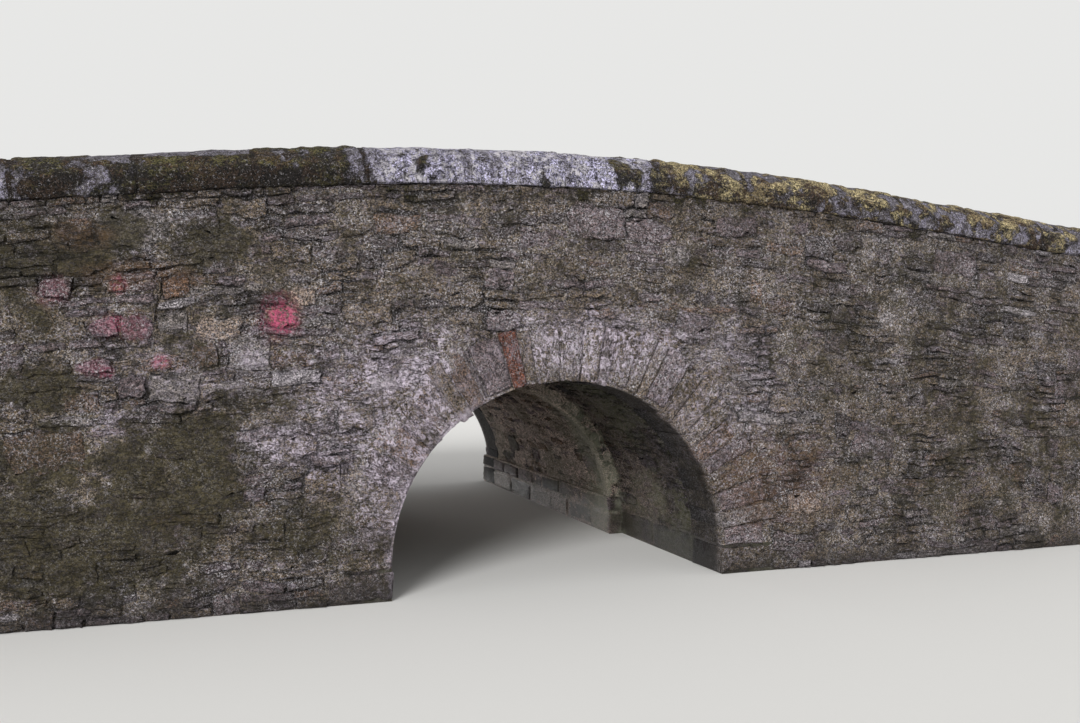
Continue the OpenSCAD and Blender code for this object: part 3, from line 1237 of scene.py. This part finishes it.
class Finish:
    """A material built up in layers of colour and height that follow the place on the bridge."""

    def __init__(self, name):
        self.material = bpy.data.materials.new(name)
        self.material.use_nodes = True
        self.tree = self.material.node_tree
        self.shader = self.tree.nodes["Principled BSDF"]
        self.colour = None
        self.place = self.value("ShaderNodeTexCoord", "Object")
        parts = self.node("ShaderNodeSeparateXYZ", {0: self.place})
        self.x, self.y, self.z = (Value(self, part) for part in parts.outputs)
        self.wobble = self.noise(4.5, 5, 0.65, shift=(1, 6, 3))

    def feed(self, node, inputs):
        for key, value in inputs.items():
            if isinstance(value, Value):
                self.tree.links.new(value.socket, node.inputs[key])
            else:
                node.inputs[key].default_value = value

    def node(self, kind, inputs, **settings):
        node = self.tree.nodes.new(kind)
        for key, value in settings.items():
            setattr(node, key, value)
        self.feed(node, inputs)
        return node

    def value(self, kind, output, inputs=None, **settings):
        return Value(self, self.node(kind, inputs or {}, **settings).outputs[output])

    def maths(self, operation, *values):
        return self.value("ShaderNodeMath", 0, dict(enumerate(values)), operation=operation)

    def vector(self, operation, output, *values):
        return self.value("ShaderNodeVectorMath", output, dict(enumerate(values)), operation=operation)

    def attribute(self, name, output="Fac"):
        return self.value("ShaderNodeAttribute", output, attribute_name=name)

    def noise(self, scale, detail=4, roughness=0.55, stretch=(1, 1, 1), shift=(0, 0, 0), place=None, swirl=0):
        vector = place or self.place
        if stretch != (1, 1, 1) or any(shift):
            inputs = {"Vector": vector, "Scale": stretch, "Location": shift}
            vector = self.value("ShaderNodeMapping", 0, inputs)
        inputs = {"Vector": vector, "Scale": scale, "Detail": detail, "Roughness": roughness}
        return self.value("ShaderNodeTexNoise", "Fac", {**inputs, "Distortion": swirl})

    def veins(self, scale, width, **settings):
        """1 along thin winding lines and 0 between them."""
        return abs(self.noise(scale, **settings) - 0.5).fade(width, 0.0)

    def cells(self, scale):
        """Small stones side by side: a shade for each, and the distance from its middle."""
        cells = self.node("ShaderNodeTexVoronoi", {"Vector": self.place, "Scale": scale})
        tint = self.value("ShaderNodeSeparateColor", 0, {0: Value(self, cells.outputs["Color"])})
        return tint, Value(self, cells.outputs["Distance"])

    def mixed(self, under, mask, over, strength=1.0):
        """One colour laid over another where the mask says so."""
        share = mask * strength if strength != 1.0 else mask
        return self.value("ShaderNodeMix", 2, {0: share, 6: under, 7: over}, data_type="RGBA")

    def toned(self, colour, factor):
        """A colour made darker or lighter."""
        if not isinstance(colour, Value):
            colour = tuple(colour)[:3]
        return self.value("ShaderNodeVectorMath", 0, {0: colour, 3: factor}, operation="SCALE")

    def cover(self, mask, over, strength=1.0):
        self.colour = self.mixed(self.colour, mask, over, strength)

    def tone(self, factor):
        self.colour = self.toned(self.colour, factor)

    def patch(self, x, z, half_x, half_z):
        """1 in the middle of a patch that has a ragged, fading edge, and 0 outside it."""
        offset = self.vector("SUBTRACT", 0, self.place, (x, 0.0, z))
        offset = self.vector("MULTIPLY", 0, offset, (1 / half_x, 0.0, 1 / half_z))
        uneven = 2 * PATCH_RAGGED * self.wobble - PATCH_RAGGED
        return (self.vector("LENGTH", "Value", offset) + uneven).fade(1.2, 0.45)

    def patches(self, places):
        """All the patches of a list of X, Z, half width, half height and strength."""
        result = 0.0
        for *place, strength in places:
            result = self.maths("MAXIMUM", result, self.patch(*place) * strength)
        return result

    def from_arch_middle(self):
        """The distance from the middle of the arch in X and Z."""
        place = self.value("ShaderNodeCombineXYZ", 0, {0: self.x, 2: self.z - SPRINGING})
        return self.vector("LENGTH", "Value", place)

    def arris(self):
        """1 along the left-hand edge of the front arch, where lime has run down."""
        reach = self.from_arch_middle() + 0.08 * self.wobble - 0.04
        edge = self.y.fade(FRONT_FACE + 0.16, FRONT_FACE + 0.05)
        return reach.fade(FRONT_RADIUS + 0.06, FRONT_RADIUS) * self.x.fade(-0.50, -0.75) * edge

    def underside_shade(self):
        """1 on the undersides and inner sides of the arch, behind its front edge, where the stone gets
        painted shade.
        """
        under = self.from_arch_middle().fade(FRONT_RADIUS + 0.055, FRONT_RADIUS + 0.035)
        return under * abs(self.y).fade(BACK_FACE - 0.01, BACK_FACE - 0.10)

    def complete(self, roughness, height, distance, bump=1.0):
        """Joins the layers to the shader."""
        relief = self.value("ShaderNodeBump", 0, {"Strength": bump, "Distance": distance, "Height": height})
        self.feed(self.shader, {
            "Base Color": self.colour, "Roughness": roughness, "Specular IOR Level": 0.25, "Normal": relief
        })
        return self.material


# How far the edge of a patch wanders, as a share of its size
PATCH_RAGGED = 0.8
# Patches of the outer faces: X and Z of the middle, half width, half height and strength
LIME_PATCHES = (
    (-1.05, 1.15, 0.90, 0.65, 0.8),
    (-1.05, 0.65, 0.45, 0.60, 0.7),
    (-1.19, 1.38, 0.20, 0.13, 1.5),
    (-0.93, 1.43, 0.22, 0.12, 1.4),
    (-1.75, 1.00, 0.40, 0.18, 0.8),
    (0.20, 1.58, 0.80, 0.28, 0.9),
    (1.15, 1.30, 0.60, 0.60, 0.5),
    (-2.10, 1.42, 0.90, 0.30, 0.35),
    (-1.97, 1.50, 0.11, 0.09, 1.3),
    (-2.72, 1.13, 0.16, 0.12, 0.7),
    (-2.42, 1.34, 0.14, 0.08, 0.5),
)
DIRT_PATCHES = (
    (-2.42, 0.80, 0.48, 0.45, 1.3),
    (-3.05, 0.46, 0.95, 0.32, 1.6),
    (-3.10, 0.92, 0.30, 0.28, 1.0),
    (-3.62, 1.00, 0.36, 0.65, 1.3),
    (-3.10, 1.34, 0.26, 0.15, 1.2),
    (-3.12, 2.10, 0.50, 0.25, 1.1),
    (-3.08, 1.74, 0.12, 0.10, 0.6),
    (-2.72, 2.20, 0.22, 0.16, 1.0),
    (-2.25, 2.16, 0.36, 0.16, 0.9),
    (-2.25, 1.53, 0.12, 0.12, 1.0),
    (-2.62, 1.70, 0.10, 0.10, 0.5),
    (-2.37, 1.58, 0.12, 0.10, 0.7),
    (-1.95, 1.27, 0.32, 0.10, 0.7),
    (-1.50, 0.42, 0.60, 0.30, 0.6),
    (2.60, 1.60, 1.20, 0.60, 0.35),
    (3.40, 0.70, 1.30, 0.60, 0.4),
)
STAIN_PATCHES = (
    (-2.60, 1.98, 0.34, 0.09, 1.0),
    (-2.90, 2.20, 0.20, 0.10, 0.7),
    (1.55, 0.62, 0.55, 0.38, 0.9),
)
PAINT_PATCHES = (
    (-1.81, 1.74, 0.100, 0.100, 0.95),
    (-1.83, 1.75, 0.150, 0.150, 0.25),
    (-2.77, 1.70, 0.11, 0.08, 0.15),
    (-2.72, 1.71, 0.05, 0.06, 0.40),
    (-2.62, 1.69, 0.09, 0.10, 0.15),
    (-2.84, 1.45, 0.10, 0.06, 0.16),
    (-2.78, 1.43, 0.05, 0.04, 0.40),
    (-2.49, 1.49, 0.06, 0.05, 0.45),
    (-2.71, 1.92, 0.05, 0.06, 0.25),
    (-3.05, 1.88, 0.10, 0.10, 0.14),
)


def stone_base(finish, stones, plain):
    """Colours bare stone or mortar with its grain, beds and dark cracks, and with painted shade where it lies
    back in the joints; gives its relief and its hollows.
    """
    grain = finish.noise(95, 2, 1)
    hollow = finish.attribute("hollow")
    if stones:
        bare = finish.attribute("stone_colour", "Color")
        place = finish.attribute("grain_place", "Vector")
        beds = finish.noise(18, 4, 0.95, stretch=(1, 1, 2.4), place=place)
        cracks = finish.veins(7, 0.014, roughness=0.75, stretch=(1, 1, 2.6), place=place)
    else:
        bare = plain
        beds = finish.noise(18, 4, 0.95, stretch=(1, 1, 1.5))
        cracks = finish.veins(8, 0.014, roughness=0.75, stretch=(1, 1, 1.6))
    light = beds.fade(0.42, 0.58, 0.60, 1.30) * grain.fade(0.43, 0.58, 0.14, 2.05)
    # Painted shade: stone sides and thin mortar that lie back in the joints are painted darker.
    light = light * hollow.fade(0.1, 1.0, 1.0, 0.20) * cracks.ease(1.0, 0.45)
    finish.colour = finish.toned(bare, light)
    return 1.6 * beds + 0.5 * grain - 0.5 * cracks, hollow


def grow_moss(finish, extra, threshold):
    """Lays on moss in uneven patches, more of it where extra is high, and gives how thick it is."""
    shades = colours()
    moss = (finish.noise(4.2, 7, 0.70, shift=(2, 8, 5)) + extra).fade(threshold, threshold + 0.07)
    tufts = finish.noise(95, 3, 0.6)
    finish.cover(moss, finish.mixed(shades.moss_dark, tufts.fade(0.42, 0.68), shades.moss_light), 0.9)
    return moss * tufts.fade(0.2, 0.6)


def rubble_finish(name, stones):
    """Old slate rubble and its mortar, with dirt, moss, lichen, lime and faded paint, and with painted shade
    deep in the joints, right under the coping and on the undersides of the arch.
    """
    shades = colours()
    finish = Finish(name)
    height, hollow = stone_base(finish, stones, shades.mortar)
    on_ring = name == "arch_stone"
    along = finish.attribute("grain_place", "Vector") if on_ring else None
    coated = finish.attribute("stone_colour", "Alpha") if stones else 1.0
    outside = abs(finish.y).fade(2.3, 2.5)
    front = finish.y.fade(-2.3, -2.5)
    limed = finish.patches(LIME_PATCHES) * outside
    soiled = finish.patches(DIRT_PATCHES) * outside

    finish.cover(limed * finish.wobble.fade(0.42, 0.60, 0.0, 0.22) * coated, shades.lime)
    crust = finish.noise(20, 4, 0.98, stretch=(1, 1, 1.6), shift=(3, 5, 1), swirl=0.6, place=along)
    lime = (crust + 0.065 * limed).fade(0.545, 0.585)
    finish.cover(lime * (limed.ease(0.40, 0.90) * coated), shades.lime)
    finish.cover(finish.arris() * crust.fade(0.34, 0.50), shades.lime, 0.75)

    soil = finish.noise(3, 8, 0.85) + 0.15 * soiled - 0.03 * limed
    dirt = soil.fade(0.475, 0.645) * coated
    crumbs = finish.noise(14, 5, 0.95, stretch=(1, 1, 2), shift=(1, 6, 2))
    finish.cover(dirt, finish.toned(shades.dirt, crumbs.fade(0.42, 0.58, 0.40, 1.55)), 0.85)
    stain = finish.patches(STAIN_PATCHES) * crumbs.fade(0.40, 0.56) * front
    finish.cover(stain, shades.stain, 0.6)
    # More painted shade deep in the joints.
    if not on_ring:
        finish.tone(hollow.fade(0.2, 1.0, 1.0, 0.5))

    clusters = finish.noise(3.6, 6, 0.80, shift=(4, 7, 9)).fade(0.42, 0.58, 0.25, 1.0)
    bright = (1.0 - 0.8 * dirt) * clusters
    veins = finish.veins(16, 0.016, roughness=0.85, stretch=(1, 1, 1.6), shift=(2, 2, 6))
    finish.cover(veins * bright * coated, shades.lichen, 0.50)
    pits = finish.noise(36, 3, 1, stretch=(1, 1, 1.6), shift=(6, 1, 4), place=along)
    pits = pits.fade(0.555, 0.60) * coated
    finish.cover(pits, shades.damp, 0.75)
    flecks = finish.noise(75, 2, 1, shift=(9, 4, 2)).fade(0.565, 0.60)
    if stones:
        flecks = flecks * coated.fade(0.2, 0.6, 0.4, 1.0)
    finish.cover(flecks * bright, shades.lichen, 0.85)

    if stones or name == "mortar":
        worn = finish.noise(42, 3, 0.95, shift=(5, 5, 8)).fade(0.60, 0.44)
        finish.cover(finish.patches(PAINT_PATCHES) * worn * front, shades.paint)
    # Painted shade on the undersides and inner sides of the arch.
    finish.tone(finish.underside_shade().ease(1.0, 0.28))
    near = finish.attribute("near_coping")
    # Painted shade: the wall is painted darker right under the coping, where its overhang shades it.
    finish.tone(near.ease(1.0, 0.78))
    moss = grow_moss(finish, near.ease(0.0, 0.13), 0.665)
    wet = (finish.z + 0.5 * finish.wobble).fade(0.48, 0.24)
    finish.cover(wet, shades.damp, 0.65)
    return finish.complete(wet.ease(0.93, 0.55), height + 1.6 * moss + 0.6 * lime - 0.8 * pits, 0.011)


def vault_finish(name, stones):
    """Stone inside the arch, damp near the water, with a green film and a pale band at the seam; painted
    shade darkens it towards its front edge and painted light brightens it past the seam.
    """
    shades = colours()
    finish = Finish(name)
    height, _ = stone_base(finish, stones, shades.vault)
    # Painted shade: darker towards the front edge of the vault. Painted light: lighter past the seam, where
    # daylight from the far opening falls.
    finish.tone(finish.y.fade(FRONT_FACE + 0.4, SEAM, 0.10, 0.55))
    finish.tone(finish.y.fade(SEAM - 0.05, SEAM + 0.05, 1.0, 3.1))
    film = finish.noise(2.2, 8, 0.80, stretch=(1, 0.5, 1)).fade(0.46, 0.58)
    finish.cover(film, shades.algae, 0.50)
    # Pale green band past the seam: partly a green film, partly a painted highlight on the older vault's
    # front edge.
    past = finish.y + 0.9 * finish.wobble - (SEAM + 0.45)
    band = past.fade(-0.12, 0.0) * past.fade(0.60, 0.25) * finish.z.fade(1.3, 0.8, 0.3, 1.0)
    finish.cover(band, shades.seam, 0.60)
    veins = finish.veins(11, 0.014, roughness=0.8, stretch=(1, 0.6, 1.5))
    finish.cover(veins, shades.lime, 0.25)
    wet = (finish.z + 0.3 * finish.wobble).fade(0.50, 0.24)
    finish.cover(wet, shades.damp, 0.55)
    return finish.complete(wet.ease(0.9, 0.45), height, 0.013)


def coping_finish(name):
    """Grey stone with black and white lichen under cushions of moss, with painted light and shade by how the
    surface faces and painted sunlight towards the right.
    """
    shades = colours()
    finish = Finish(name)
    thick, stain, upward = (finish.attribute(kind) for kind in ("moss", "stain", "upward"))
    grain = finish.noise(90, 2, 1)
    blotch = finish.noise(14, 5, 0.92, stretch=(1.3, 1, 0.8), swirl=0.6)
    finish.colour = finish.toned(shades.granite, blotch.fade(0.43, 0.57, 0.32, 1.28))
    finish.tone(grain.fade(0.43, 0.58, 0.10, 2.15))
    finish.cover(stain, shades.mortar, 0.45)
    finish.tone(stain.ease(1.05, 0.50))
    # More white lichen where the stone faces up, partly a painted highlight on its top.
    crust = finish.noise(13, 6, 0.94, shift=(4, 4, 1)) + upward.fade(0.5, 1.0, 0.0, 0.03)
    white = crust.fade(0.51, 0.54) * stain.fade(0.0, 0.8, 0.95, 0.12)
    finish.cover(white, shades.lichen)
    finish.cover(finish.noise(34, 4, 1, shift=(7, 2, 9)).fade(0.55, 0.58), shades.damp, 0.88)

    moss = (thick + 2.2 * finish.noise(20, 5, 0.90) - 1.1).fade(0.20, 0.50)
    tufts = finish.noise(8, 6, 0.85, stretch=(0.8, 1, 1.4), shift=(1, 3, 5))
    # Painted light: the moss is painted brighter and more golden towards the right, where the sun falls,
    # lighter on top and darker on its upright face, where shade falls.
    right = finish.x.fade(0.2, 1.0)
    bright = finish.mixed(shades.moss_light, right, shades.moss_bright)
    lit = (tufts + 0.035 * right + upward.fade(0.1, 0.9, -0.03, 0.035)).fade(0.475, 0.60)
    green = finish.mixed(shades.moss_dark, lit, bright, 0.8)
    rusty = finish.noise(5, 6, 0.85, shift=(8, 0, 4)).fade(0.47, 0.55)
    green = finish.mixed(green, rusty, shades.moss_brown, 0.60)
    green = finish.toned(green, grain.fade(0.43, 0.58, 0.15, 2.0))
    green = finish.toned(green, upward.fade(0.0, 0.6, 0.60, 1.12) + 0.32 * right)
    finish.cover(moss, green, 0.97)
    flecks = finish.noise(55, 3, 1, shift=(3, 4, 8)).fade(0.60, 0.63) * moss.ease(0.7, 0.35)
    finish.cover(flecks, shades.lichen)
    height = grain + (moss * tufts * 2.6 + 1.2 * blotch) + 0.5 * white
    return finish.complete(0.93, height, 0.014)


def road_finish(name):
    """Stone dust and gravel, with moss along the parapets and down the middle."""
    shades = colours()
    finish = Finish(name)
    tint, distance = finish.cells(42)
    finish.colour = finish.toned(shades.gravel, tint.ease(0.5, 1.15))
    finish.cover(finish.noise(5, 6, 0.65).fade(0.42, 0.62), shades.mortar, 0.65)
    offset = abs(finish.y)
    verge = offset.fade(1.6, 2.2, 0.0, 0.2) + offset.fade(0.45, 0.1, 0.0, 0.16)
    moss = grow_moss(finish, verge, 0.64)
    return finish.complete(0.95, 1.5 * moss - distance, 0.012, bump=0.8)


def earth_finish(name):
    """Packed earth and stones, seen only from below and along the edges."""
    finish = Finish(name)
    tint, distance = finish.cells(16)
    finish.colour = finish.toned(colours().earth, tint.ease(0.5, 1.1))
    return finish.complete(0.97, finish.noise(40, 5) - distance, 0.02, bump=0.8)


# Lamps: their names, the side they shine from and the setting for their strength
LAMPS = (
    ("key_light", (-8.0, -10.0, 7.0), "key_light"),
    ("front_fill", (-3.8, -9.5, 1.6), "front_light"),
    ("back_fill", (-3.2, 10.5, 2.2), "back_light"),
)
# How wide a lamp looks, in degrees
LAMP_WIDTH = 24
LAMP_TARGET = Vector((0.0, 0.0, 1.2))
FLOOR_RADIUS = 60.0
WHITE = (1.0, 1.0, 1.0, 1.0)
BACKDROP = (0.80, 0.80, 0.79, 1.0)


class BRIDGE_OT_stage(bpy.types.Operator):
    """Sets up the floor, the lights and the camera"""

    bl_idname = "bridge.set_stage"
    bl_label = "Set stage"

    def execute(self, context):
        self.lay_floor()
        self.light_sky(context)
        for lamp in LAMPS:
            self.hang_lamp(*lamp)
        self.aim_camera(context)
        return {"FINISHED"}

    def lay_floor(self):
        deselect_all()
        bpy.ops.mesh.primitive_circle_add(vertices=96, radius=FLOOR_RADIUS, fill_type="NGON")
        floor = bpy.context.active_object
        floor.name = floor.data.name = "floor"
        finish = bpy.data.materials.new("floor")
        finish.use_nodes = True
        shader = finish.node_tree.nodes["Principled BSDF"]
        shader.inputs["Base Color"].default_value = stage_settings().floor
        shader.inputs["Roughness"].default_value = 0.95
        shader.inputs["Specular IOR Level"].default_value = 0.1
        put_on(floor, finish)

    def light_sky(self, context):
        """An even sky that lights the bridge, and shows as a pale backdrop."""
        world = bpy.data.worlds.new("sky")
        context.scene.world = world
        world.use_nodes = True
        tree = world.node_tree
        sky = tree.nodes["Background"]
        sky.inputs["Color"].default_value = WHITE
        sky.inputs["Strength"].default_value = stage_settings().sky_light
        seen = tree.nodes.new("ShaderNodeBackground")
        seen.inputs["Color"].default_value = BACKDROP
        path = tree.nodes.new("ShaderNodeLightPath")
        mixed = tree.nodes.new("ShaderNodeMixShader")
        shown = path.outputs["Is Camera Ray"]
        for ray in ("Is Glossy Ray", "Is Transmission Ray"):
            both = tree.nodes.new("ShaderNodeMath")
            both.operation = "MAXIMUM"
            tree.links.new(shown, both.inputs[0])
            tree.links.new(path.outputs[ray], both.inputs[1])
            shown = both.outputs[0]
        tree.links.new(shown, mixed.inputs[0])
        tree.links.new(sky.outputs[0], mixed.inputs[1])
        tree.links.new(seen.outputs[0], mixed.inputs[2])
        tree.links.new(mixed.outputs[0], tree.nodes["World Output"].inputs[0])

    def hang_lamp(self, name, place, strength):
        """A far, soft light that shines from this side on the middle of the bridge."""
        deselect_all()
        bpy.ops.object.light_add(type="SUN", location=place)
        lamp = bpy.context.active_object
        lamp.name = name
        lamp.data.energy = getattr(stage_settings(), strength)
        lamp.data.angle = math.radians(LAMP_WIDTH)
        lamp.rotation_euler = (LAMP_TARGET - lamp.location).to_track_quat("-Z", "Y").to_euler()

    def aim_camera(self, context):
        view = stage_settings()
        deselect_all()
        bpy.ops.object.camera_add(location=view.eye, rotation=(math.pi / 2 - view.tip, 0.0, -view.turn))
        camera = context.active_object
        camera.data.lens = view.lens
        camera.data.sensor_width = 36.0
        context.scene.camera = camera
        context.scene.view_settings.view_transform = "Standard"


class BRIDGE_PT_panel(bpy.types.Panel):
    """Lists the steps of building the bridge"""

    bl_label = "Stone arch bridge"
    bl_idname = "BRIDGE_PT_panel"
    bl_space_type = "VIEW_3D"
    bl_region_type = "UI"
    bl_category = "Bridge"

    def draw(self, context):
        for operator in STEPS:
            self.layout.operator(operator.bl_idname)


STEPS = (
    BRIDGE_OT_frame_finish,
    BRIDGE_OT_mortar,
    BRIDGE_OT_rubble,
    BRIDGE_OT_blocks,
    BRIDGE_OT_arch_stones,
    BRIDGE_OT_vault_stones,
    BRIDGE_OT_coping,
    BRIDGE_OT_road,
    BRIDGE_OT_stage,
)
SETTINGS = (
    ("bridge_masonry", BRIDGE_PG_masonry),
    ("bridge_colours", BRIDGE_PG_colours),
    ("bridge_stage", BRIDGE_PG_stage),
)


def register():
    for name, group in SETTINGS:
        bpy.utils.register_class(group)
        setattr(bpy.types.Scene, name, bpy.props.PointerProperty(type=group))
    for operator in STEPS:
        bpy.utils.register_class(operator)
    bpy.utils.register_class(BRIDGE_PT_panel)


def unregister():
    bpy.utils.unregister_class(BRIDGE_PT_panel)
    for operator in reversed(STEPS):
        bpy.utils.unregister_class(operator)
    for name, group in reversed(SETTINGS):
        delattr(bpy.types.Scene, name)
        bpy.utils.unregister_class(group)


def main():
    register()
    model_stones()
    for operator in STEPS:
        group, name = operator.bl_idname.split(".")
        getattr(getattr(bpy.ops, group), name)()


if __name__ == "__main__":
    main()
